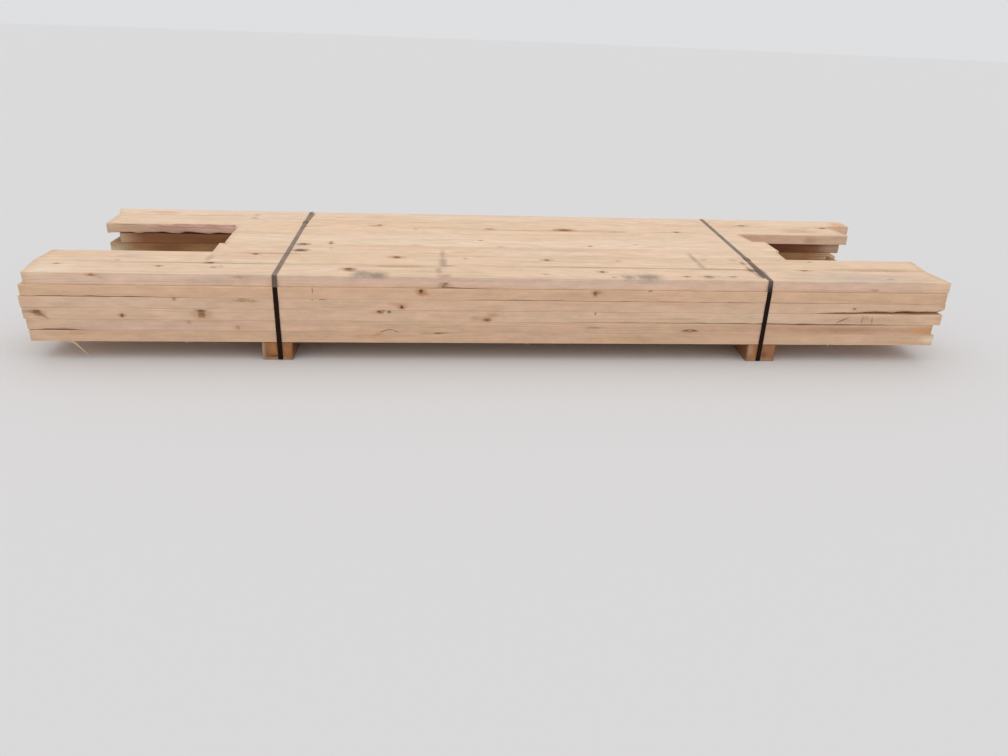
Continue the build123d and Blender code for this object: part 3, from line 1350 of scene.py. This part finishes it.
class Tone(Enum):
    """How light, how warm and how dirty a board's wood is, as the photograph shows it."""

    LAYER_1 = (0.98, 0.15, 0.16)
    LAYER_2 = (0.95, 0.80, 0.06)
    LAYER_3 = (0.96, 0.50, 0.08)
    LAYER_4 = (0.96, 0.40, 0.10)
    LAYER_5 = (0.92, 0.65, 0.10)
    LAYER_6 = (0.93, 0.75, 0.12)
    INSIDE = (0.90, 0.8, 0.12)
    # Painted shade on plank sides that look into the notches
    SHELTERED = (0.56, 0.6, 0.10)
    SHOWN_ON_TOP = (1.015, 0.03, 0.12)
    LEFT_BEARER = (0.78, 0.6, 0.10)
    RIGHT_BEARER = (0.80, 0.7, 0.15)


class Place(Enum):
    """Where in its layer a plank lies, and how much of it the stack lets show."""

    FRONT_OUTER = "front_outer"
    FRONT_INNER = "front_inner"
    MIDDLE_FRONT = "middle_front"
    MIDDLE_CENTRE = "middle_centre"
    MIDDLE_REAR = "middle_rear"
    REAR_INNER = "rear_inner"
    REAR_OUTER = "rear_outer"

    @property
    def on_face(self) -> bool:
        """Whether the plank is on the front or rear face of the stack."""
        return self in (Place.FRONT_OUTER, Place.REAR_OUTER)

    def node(self, layer: int) -> str:
        """The name of the node of the plank at this place in a layer."""
        return f"{self.value}_plank_{layer}"


# The stains that the photograph shows, in the columns that on_top, on_front and mark take
TOP_MARKS = (
    (-592, -530, 50, 60, GRIME, 0.65),
    (-530, -545, 58, 58, GRIME, 0.75),
    (-640, -478, 34, 34, BROWN, 0.6),
    (478, -535, 34, 40, GRIME, 0.6),
    (560, -530, 75, 60, GRIME, 0.65),
    (-272, -215, 16, 90, GRIME, 0.35),
    (-270, -345, 24, 90, GRIME, 0.5),
    (-255, -402, 52, 7, BROWN, 0.9, 0.5),
    (-288, -470, 18, 60, GRIME, 0.4),
    (-266, -545, 42, 34, RED_BROWN, 0.5),
    (838, -225, 18, 110, GRIME, 0.45),
    (836, -350, 20, 70, GRIME, 0.4),
    (880, -252, 26, 14, GRIME, 0.35),
    (1010, -250, 26, 24, GRIME, 0.35),
    (924, -508, 26, 10, BROWN, 0.85, 0.7),
    (816, -524, 34, 16, GRIME, 0.65),
    (728, -516, 18, 12, BROWN, 0.5),
    (1050, -425, 14, 40, BROWN, 0.7),
    (1038, -300, 14, 36, GRIME, 0.7),
    (1034, -400, 17, 60, DIRT, 0.7),
    (1040, -480, 16, 50, GRIME, 0.65),
    (1084, -430, 9, 70, GRIME, 0.5),
    (-1150, -404, 650, 6, BROWN, 0.7, 0.8),
    (-470, -415, 190, 22, TAN, 0.8),
    (350, -398, 500, 14, TAN, 0.65),
    (900, -400, 250, 14, RUST, 0.75),
    (1600, -385, 250, 34, TAN, 0.7),
    (-1000, -244, 230, 7, BROWN, 0.75, 0.8),
    (-200, -250, 260, 5, BROWN, 0.5, 0.8),
    (-300, -212, 260, 4, BROWN, 0.5, 0.8),
    (180, -212, 40, 6, CREAM, 0.8),
    (-392, -76, 34, 8, BROWN, 0.55),
    (-8, -80, 30, 10, BROWN, 0.5),
    (250, -118, 420, 26, DUN, 0.6),
    # Painted shade along the wane groove at the front edge of the top layer's rear inner plank
    (150, 250, 520, 26, TAN, 0.85, 0.9),
    (140, 246, 600, 9, BROWN, 0.6, 0.8),
    (560, 252, 90, 5, BROWN, 0.6, 0.8),
    (900, 252, 170, 5, BROWN, 0.6, 0.8),
    (-350, 258, 50, 10, BROWN, 0.8, 0.9),
    (-400, 240, 18, 16, BROWN, 0.7),
    (-40, 270, 40, 18, TAN, 0.8),
    (332, 272, 64, 34, RED_BROWN, 0.65),
    (-606, 292, 42, 16, RUST, 0.7),
    (-1500, 449, 380, 10, TAN, 0.65),
    (-1656, 500, 100, 34, ORANGE, 0.45),
    (-1196, 412, 22, 26, GRIME, 0.45),
    (-1196, 482, 26, 30, GRIME, 0.35),
    (-1205, -400, 28, 20, BROWN, 0.8),
    (-1176, -462, 20, 20, GRIME, 0.55),
    (-1225, -330, 20, 70, GRIME, 0.35),
    (-1150, -450, 12, 20, GRIME, 0.35),
    (-884, -88, 40, 26, DIRT, 0.8),
    (-880, -186, 42, 32, DIRT, 0.85),
    (-768, -50, 10, 40, BROWN, 0.6),
    (-756, -140, 8, 20, BROWN, 0.35),
    (-1222, -88, 12, 22, BROWN, 0.55),
    (-1790, -505, 110, 80, CREAM, 0.8, 0.8),
    (-1540, -315, 80, 40, DUN, 0.6),
    (1560, 330, 130, 60, TAN, 0.5),
    (1850, 480, 70, 90, ORANGE, 0.55),
    (1598, -520, 28, 9, BROWN, 0.6),
    (1450, -500, 400, 75, DUN, 0.75, 0.8),
)
FRONT_MARKS = (
    (-590, 338, 90, 14, DUN, 0.7),
    (0, 330, 1950, 26, PINK, 0.6, 0.6),
    (0, 337, 620, 10, DUN, 0.35, 0.8),
    (560, 338, 120, 14, DUN, 0.7),
    (-1450, 328, 450, 26, PINK, 0.5, 0.6),
    (1450, 328, 420, 26, PINK, 0.6, 0.6),
    # Painted highlight along the lower front edge of the top layer, where the ledge below catches
    # light
    (-1300, 311, 700, 5, CREAM, 0.5, 0.6),
    (-264, 318, 34, 19, OLIVE, 0.75),
    (-262, 325, 14, 6, PITCH, 0.8, 0.9),
    (-270, 312, 8, 6, DEEP_BROWN, 0.7, 0.8),
    (-1058, 341, 40, 10, RUST, 0.6),
    (-1604, 343, 26, 7, OLIVE, 0.5),
    (-1572, 333, 34, 10, OLIVE, 0.3, 1.2, -0.3),
    (1514, 316, 26, 8, RED_BROWN, 0.7),
    (-1080, 282, 160, 24, TAN, 0.25, 0.8),
    (-1045, 250, 60, 10, TAN, 0.7),
    (-1010, 245, 20, 6, BROWN, 0.25),
    (-357, 294, 9, 9, PITCH, 0.95, 0.6),
    (-434, 228, 6, 6, PITCH, 0.85, 0.6),
    (-524, 208, 8, 6, PITCH, 0.8, 0.8),
    (-505, 212, 8, 5, PITCH, 0.7, 0.8),
    (-486, 207, 7, 6, PITCH, 0.75, 0.8),
    (-445, 240, 60, 10, RUST, 0.45),
    (-348, 284, 36, 12, RUST, 0.7),
    (-780, 292, 3, 18, BROWN, 0.7, 0.5),
    (-783, 257, 3, 9, BROWN, 0.7, 0.5),
    (-741, 256, 22, 3, BROWN, 0.6, 0.5),
    (344, 297, 28, 12, RUST, 0.8),
    (339, 294, 10, 9, BROWN, 0.75, 0.8),
    (563, 304, 14, 5, BROWN, 0.6),
    (899, 260, 12, 3, DEEP_BROWN, 0.8, 0.5),
    (347, 205, 3, 12, BROWN, 0.55, 0.5),
    (1440, 236, 12, 6, DEEP_BROWN, 0.75, 0.8),
    (-142, 183, 26, 14, RUST, 0.4),
    (-96, 176, 24, 9, BROWN, 0.65),
    (-70, 198, 34, 14, RUST, 0.5),
    (1402, 189, 34, 6, RED_BROWN, 0.75, 0.7, 0.45),
    (1392, 183, 26, 3, DEEP_BROWN, 0.6, 0.9, 0.45),
    (1484, 189, 5, 20, RED_BROWN, 0.8, 0.9, 2.0),
    (1500, 196, 18, 12, MAUVE, 0.5, 1.2),
    (1527, 186, 6, 17, RED_BROWN, 0.65, 0.9, -1.5),
    (-1850, 198, 46, 8, BROWN, 0.45),
    (-1830, 197, 22, 12, DEEP_BROWN, 0.6),
    (-1812, 186, 30, 12, OLIVE, 0.75, 1.4, -0.6),
    (-1214, 206, 28, 5, DEEP_BROWN, 0.8, 0.8),
    (-1500, 234, 450, 24, PINK, 0.3, 0.8),
    (-1500, 142, 500, 24, PINK, 0.5, 0.8),
    (1560, 187, 330, 26, TAN, 0.3, 0.8),
    # Painted shade: a thin dark line over layer 5 where layer 4's lower edge is broken away
    (1350, 165, 480, 3.5, DEEP_BROWN, 0.7, 0.5),
    (1500, 142, 250, 26, BROWN, 0.13, 0.8),
    (800, 142, 220, 22, TAN, 0.2, 0.8),
    (1226, 165, 40, 3, DEEP_BROWN, 0.8, 0.6),
    (733, 137, 22, 5, DEEP_BROWN, 0.85, 0.5, 0.2),
    (768, 137, 24, 5, DEEP_BROWN, 0.85, 0.5, -0.2),
    (751, 132, 44, 6, RED_BROWN, 0.75, 0.5),
    (-508, 126, 26, 3, BROWN, 0.75, 0.6, 0.3),
    (-482, 131, 22, 3, BROWN, 0.7, 0.6, -0.1),
    (-455, 123, 24, 3, BROWN, 0.75, 0.6, -0.4),
    (-530, 112, 30, 8, TAN, 0.6, 1.2, 0.2),
    (-292, 117, 26, 5, DEEP_BROWN, 0.9, 0.6),
    (-268, 118, 30, 3, BROWN, 0.7, 0.6),
    (-335, 115, 44, 6, RUST, 0.6, 1.0),
    (348, 146, 44, 6, DIRT, 0.4),
    (1300, 142, 560, 26, RUST, 0.5, 0.6),
    (1770, 142, 120, 26, ORANGE, 0.65, 0.6),
    (-560, 100, 110, 16, ORANGE, 0.3),
    (450, 100, 200, 14, ORANGE, 0.28),
    (-1690, 108, 60, 10, RUST, 0.45),
    (1810, 100, 60, 24, CREAM, 0.75),
)
NOTCH_MARKS = (
    (-1480, 243, 330, 300, 30, 45, MAUVE, 0.7, 0.8),
    (-1750, 243, 325, 150, 30, 45, TAN, 0.35, 0.8),
    (-1350, 255, 326, 200, 90, 18, PINK, 0.7, 0.8),
    (-1345, 243, 342, 60, 30, 14, RED_BROWN, 0.45, 0.8),
    # Painted light: the cream and honey patches on layers 2 and 3, where light reaches into the
    # notches over their painted shade
    (-1790, 243, 270, 60, 40, 60, CREAM, 0.2, 0.8),
    (-1820, 243, 220, 110, 40, 50, CREAM, 0.75, 0.8),
    (-1720, 243, 220, 110, 40, 50, PAINTED_LIGHT_HONEY, 0.45, 0.8),
    (-1390, 243, 220, 170, 40, 50, PAINTED_LIGHT_HONEY, 0.6, 1.2),
    (1590, 243, 325, 50, 30, 30, RED_BROWN, 0.35, 1.2),
    (1740, 243, 280, 240, 40, 60, RUST, 0.3, 0.8),
    (1700, 243, 285, 80, 40, 35, CREAM, 0.35, 0.8),
    # Painted shade deep in the right notch
    (1450, 243, 276, 240, 40, 65, PAINTED_SHADE_MAHOGANY, 0.7, 0.8),
    (1530, 243, 240, 150, 40, 40, PAINTED_LIGHT_HONEY, 0.35, 0.8),
)
MARKS = (
    *starmap(on_top, TOP_MARKS),
    *starmap(on_front, FRONT_MARKS),
    *starmap(mark, NOTCH_MARKS),
)
# What the edges of planks lack, and what stands off them
LOSSES = {
    "front_outer_plank_1": (EdgeLoss(-0.215, 0.110, 0.004, 0.012, waver=0.4),),
    "front_outer_plank_2": (
        EdgeLoss(-1.600, 0.400, 0.004, 0.014, waver=0.5),
        EdgeLoss(0.040, 0.290, 0.003, 0.014, waver=0.5),
        EdgeLoss(0.700, 1.150, 0.002, 0.012, waver=0.6),
    ),
    "front_outer_plank_3": (EdgeLoss(1.834, 0.610, 0.018, 0.030, bark=0.4, waver=0.3),),
    "front_outer_plank_4": (EdgeLoss(0.950, 0.900, 0.003, 0.014, waver=0.5),),
    "front_outer_plank_5": (EdgeLoss(-1.770, 0.160, 0.006, 0.016, waver=0.4),),
    "rear_inner_plank_1": (
        EdgeLoss(-0.451, 1.390, 0.024, 0.042, upper=True, bark=0.8, bark_to=-1.25, waver=0.2),
        EdgeLoss(-1.480, 0.460, 0.011, 0.024, waver=0.9),
    ),
}
SPLINTERS = {
    "front_outer_plank_6": (
        Splinter((-1.722, -0.564, 0.080), (-1.662, -0.569, 0.016), 0.0080),
        Splinter((-1.760, -0.564, 0.080), (-1.700, -0.567, 0.064), 0.0070),
        Splinter((-1.268, -0.562, 0.079), (-1.292, -0.567, 0.068), 0.0050),
        Splinter((0.062, -0.562, 0.079), (0.082, -0.567, 0.069), 0.0060),
        Splinter((1.357, -0.562, 0.079), (1.362, -0.567, 0.062), 0.0045),
    ),
}


@dataclass
class Lumber:
    """The six layers of planks.

    Attributes:
        layers: How many layers there are.
        shown_grid: The mesh of planks that show.
        hidden_grid: The mesh of planks of which little more than the ends shows.
        slot: The slot name that is handed to each plank.
        light_spread: How far a plank's lightness may be from its tone's.
        warmth_spread: How far its warmth may be from its tone's.
        rear_knots: The least and the most knots on the rear of a plank.
        under_knots: The same for the underside of a plank.
        knot_inset: How far from a plank's ends and edges those knots keep.
        knot_radius: The least and the greatest radius of such a knot.
        knot_long: The same for how drawn out it is along the plank.
        knot_weight: The same for how plainly it shows.
    """

    layers: int = 6
    shown_grid: Grid = Grid(0.025, 12, 6)
    hidden_grid: Grid = Grid(0.11, 6, 4)
    slot: str = "plank_wood"
    light_spread: Span = (-0.03, 0.01)
    warmth_spread: Span = (-0.15, 0.25)
    rear_knots: tuple[int, int] = (2, 5)
    under_knots: tuple[int, int] = (3, 6)
    knot_inset: Span = (0.05, 0.01)
    knot_radius: Span = (0.005, 0.013)
    knot_long: Span = (0.8, 1.3)
    knot_weight: Span = (0.5, 1.0)

    def build(self) -> list[bpy.types.Object]:
        """Makes every plank.

        Returns:
            The planks.
        """
        finishes = {wood: wood.material() for wood in (PLANK_WOOD, PAINTED_SHADE_WOOD)}
        planks = []
        for layer in range(1, self.layers + 1):
            for place in Place:
                planks.append(self._board(place, layer, finishes).build())
            LOG.info("layer %d of planks is built", layer)
        return planks

    def _sheltered(self, place: Place, layer: int) -> bool:
        """Whether the plank's side is one that looks into a notch, under the top layer, and so gets
        painted shade.
        """
        return place in (Place.FRONT_INNER, Place.REAR_INNER) and 1 < layer < self.layers

    def _board(
        self, place: Place, layer: int, finishes: dict[SawnWood, bpy.types.Material]
    ) -> Board:
        """Settles one plank's look.

        Args:
            place: Where in its layer the plank lies.
            layer: Its layer, counted from the top.
            finishes: The materials of the woods that have no stains.

        Returns:
            The plank, not yet built.
        """
        node = place.node(layer)
        box = Box.of(node)
        wood = PAINTED_SHADE_WOOD if self._sheltered(place, layer) else PLANK_WOOD
        finish = finishes[wood]
        stains = tuple(stain for stain in MARKS if stain.touches(box))
        if stains:
            finish = replace(wood, name=f"stained_{node}", stains=stains).material()
        shown = layer == 1 or place.on_face
        return Board(
            node=node,
            box=box,
            length_axis=0,
            grid=self.shown_grid if shown else self.hidden_grid,
            finish=finish,
            slot=self.slot,
            tone=self._tone(place, layer),
            knots=self._knots(place, layer),
            losses=LOSSES.get(node, ()),
            splinters=SPLINTERS.get(node, ()),
        )

    def _tone(self, place: Place, layer: int) -> Point:
        """How light, how warm and how dirty a plank is.

        Args:
            place: Where in its layer the plank lies.
            layer: Its layer.

        Returns:
            The plank's three tones.
        """
        if place is Place.FRONT_OUTER:
            return Tone[f"LAYER_{layer}"].value
        if layer > 1 and place is not Place.REAR_OUTER:
            return (Tone.SHELTERED if self._sheltered(place, layer) else Tone.INSIDE).value
        chance = Random(f"tone of {place.value} {layer}")
        light, warmth, worn = Tone.SHOWN_ON_TOP.value
        light += chance.uniform(*self.light_spread)
        warmth += chance.uniform(*self.warmth_spread)
        return light, warmth, worn

    def _knots(self, place: Place, layer: int) -> tuple[Knot, ...]:
        """The knots that the photograph shows on a plank, and others on its hidden faces.

        Args:
            place: Where in its layer the plank lies.
            layer: Its layer.

        Returns:
            The knots.
        """
        node = place.node(layer)
        box = Box.of(node)
        low, high = box.low, box.high
        chance = Random(f"knots of {node}")
        knots = []
        if place is Place.FRONT_OUTER:
            knots += [knot for knot in FRONT_KNOTS if low.z < knot.across < high.z]
        elif place is Place.REAR_OUTER:
            knots += self._chance_knots(box, Facing.REAR, self.rear_knots, chance)
        if layer == 1:
            knots += [knot for knot in TOP_KNOTS if low.y < knot.across < high.y]
        elif layer == self.layers:
            knots += self._chance_knots(box, Facing.UNDER, self.under_knots, chance)
        return tuple(knots)

    def _chance_knots(
        self, box: Box, facing: Facing, count: tuple[int, int], chance: Random
    ) -> list[Knot]:
        """Knots somewhere on a plank's rear or underside.

        Args:
            box: The plank's box.
            facing: The face that they are on.
            count: How few and how many they may be.
            chance: Where their number, places and sizes come from.

        Returns:
            The knots.
        """
        knots = []
        spans = self.knot_radius, self.knot_long, self.knot_weight
        for _ in range(chance.randint(*count)):
            along, across = (
                chance.uniform(box.low[axis] + inset, box.high[axis] - inset)
                for axis, inset in zip(facing.spread, self.knot_inset)
            )
            radius, long, weight = (chance.uniform(*span) for span in spans)
            knots.append(Knot(along, across, radius, long, weight, facing))
        return knots


# The bearers' stains, and the painted shade on their side faces, in the columns that mark takes
BEARER_MARKS = {
    "left_bearer": (
        (-992, -570, 40, 14, 30, 60, CREAM, 0.6),
        (-975, -570, 40, 30, 12, 40, DIRT, 0.25),
        (-950, -570, 45, 30, 12, 26, ORANGE, 0.55),
        (-945, -570, 16, 45, 12, 7, DEEP_BROWN, 0.7),
        (-925, -570, 50, 16, 12, 30, DEEP_BROWN, 0.35),
        (-935, -570, 4, 80, 20, 10, CREAM, 0.25),
        (-893, -570, 45, 26, 12, 35, ORANGE, 0.28),
        # Painted shade along the bearer's side face
        (-872, -400, 40, 10, 300, 60, DEEP_BROWN, 0.6),
    ),
    "right_bearer": (
        (1022, -570, 50, 20, 14, 40, CREAM, 0.25),
        (1040, -570, 30, 20, 14, 30, ORANGE, 0.4),
        (1095, -570, 50, 30, 14, 30, RUST, 0.5),
        (1085, -570, 30, 16, 14, 20, DEEP_BROWN, 0.4),
        (1070, -570, 6, 80, 20, 14, CREAM, 0.25),
        # Painted shade along the bearer's side face
        (1005, -400, 40, 12, 300, 60, DEEP_BROWN, 0.6),
    ),
}


@dataclass
class Bearers:
    """The two timbers under the stack."""

    grid: Grid = Grid(0.02, 12, 8)
    slot: str = "bearer_wood"

    def build(self) -> list[bpy.types.Object]:
        """Makes both bearers.

        Returns:
            The bearers.
        """
        pieces = []
        for node, tone in (("left_bearer", Tone.LEFT_BEARER), ("right_bearer", Tone.RIGHT_BEARER)):
            stains = tuple(starmap(mark, BEARER_MARKS[node]))
            wood = replace(BEARER_WOOD, name=f"timber_of_{node}", stains=stains)
            finish = wood.material()
            board = Board(node, Box.of(node), 1, self.grid, finish, self.slot, tone.value)
            pieces.append(board.build())
        LOG.info("the bearers are built")
        return pieces


# The straps' shaded and dusty stretches, in the columns that mark takes
STRAP_MARKS = {
    "left": ((-938, -570, 240, 60, 30, 62, BAND_BLACK, 0.7, 0.3),),
    "right": (
        (1072, -574, 300, 70, 30, 48, BAND_BLACK, 0.9, 0.3),
        (1050, -420, 352, 70, 190, 30, STRAP_DIRT, 0.75, 2.6),
    ),
}


@dataclass
class Strapping:
    """The two steel straps and their seals, which keep the frame's own shapes."""

    sides: tuple[str, ...] = ("left", "right")

    def dress(self) -> None:
        """Gives straps and seals their finish."""
        seal_finish = SEAL_STEEL.material()
        for side in self.sides:
            stains = tuple(starmap(mark, STRAP_MARKS[side]))
            steel = replace(STRAP_STEEL, name=f"band_steel_of_{side}_strap", stains=stains)
            self._finish(f"{side}_strap", steel.material())
            self._finish(f"{side}_strap_seal", seal_finish)
        LOG.info("the straps are dressed")

    def _finish(self, node: str, finish: bpy.types.Material) -> None:
        """Gives one node its finish.

        Args:
            node: The node's name.
            finish: Its material.
        """
        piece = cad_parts[node]
        piece.data.materials.clear()
        piece.data.materials.append(finish)


@dataclass
class Studio:
    """The floor, the light and the camera."""

    floor_radius: float = 90.0
    floor_sides: int = 96
    floor_roughness: float = 0.9
    floor_colour: Colour = paint(223, 221, 220)
    sky_colour: Colour = paint(238, 239, 241)
    sky_strength: float = 0.86
    lamp_tilt: float = 4.0
    lamp_softness: float = 100.0
    lamp_strength: float = 0.68
    camera_place: Point = (-0.294, -3.562, 1.254)
    camera_yaw: float = 5.306
    camera_pitch: float = 23.930
    camera_roll: float = -2.225
    camera_lens: float = 28.13
    camera_film: float = 36.0

    def build(self) -> None:
        """Sets up the floor, the light and the camera."""
        self._floor()
        self._sky()
        self._lamp()
        self._camera()
        bpy.context.scene.view_settings.view_transform = "Standard"
        LOG.info("the studio is set up")

    def _floor(self) -> None:
        """Lays the floor."""
        bpy.ops.object.select_all(action="DESELECT")
        bpy.ops.mesh.primitive_circle_add(
            vertices=self.floor_sides, radius=self.floor_radius, fill_type="NGON"
        )
        floor = bpy.context.object
        floor.name = "studio_floor"
        plain = {"Base Color": self.floor_colour, "Roughness": self.floor_roughness}
        floor.data.materials.append(Sheet("studio_floor").surface(plain))

    def _sky(self) -> None:
        """Lights the stack evenly from all round."""
        world = bpy.data.worlds.new("studio_sky")
        world.use_nodes = True
        background = world.node_tree.nodes["Background"]
        background.inputs["Color"].default_value = self.sky_colour
        background.inputs["Strength"].default_value = self.sky_strength
        bpy.context.scene.world = world

    def _lamp(self) -> None:
        """Adds the soft glow of an overcast sky from above and a little from the front."""
        bpy.ops.object.light_add(type="SUN", location=(0, 0, 5))
        lamp = bpy.context.object
        lamp.data.angle = math.radians(self.lamp_softness)
        lamp.data.energy = self.lamp_strength
        lamp.rotation_euler = (math.radians(self.lamp_tilt), 0, 0)

    def _camera(self) -> None:
        """Puts the camera where the photograph was taken from."""
        angles = self.camera_yaw, self.camera_pitch, self.camera_roll
        yaw, pitch, roll = (math.radians(angle) for angle in angles)
        bpy.ops.object.camera_add()
        camera = bpy.context.object
        camera.data.sensor_width = self.camera_film
        camera.data.lens = self.camera_lens
        aimed = Matrix.Rotation(-yaw, 4, "Z") @ Matrix.Rotation(math.pi / 2 - pitch, 4, "X")
        turned = aimed @ Matrix.Rotation(-roll, 4, "Z")
        camera.matrix_world = Matrix.Translation(self.camera_place) @ turned
        bpy.context.scene.camera = camera


def main() -> None:
    """Builds the stack, sub-assembly by sub-assembly, and its studio."""
    logging.basicConfig(level=logging.INFO, format="%(message)s")
    for piece in Lumber().build() + Bearers().build():
        LOG.info("%s: %d faces", piece.name, len(piece.data.polygons))
    Strapping().dress()
    Studio().build()


if __name__ == "__main__":
    main()
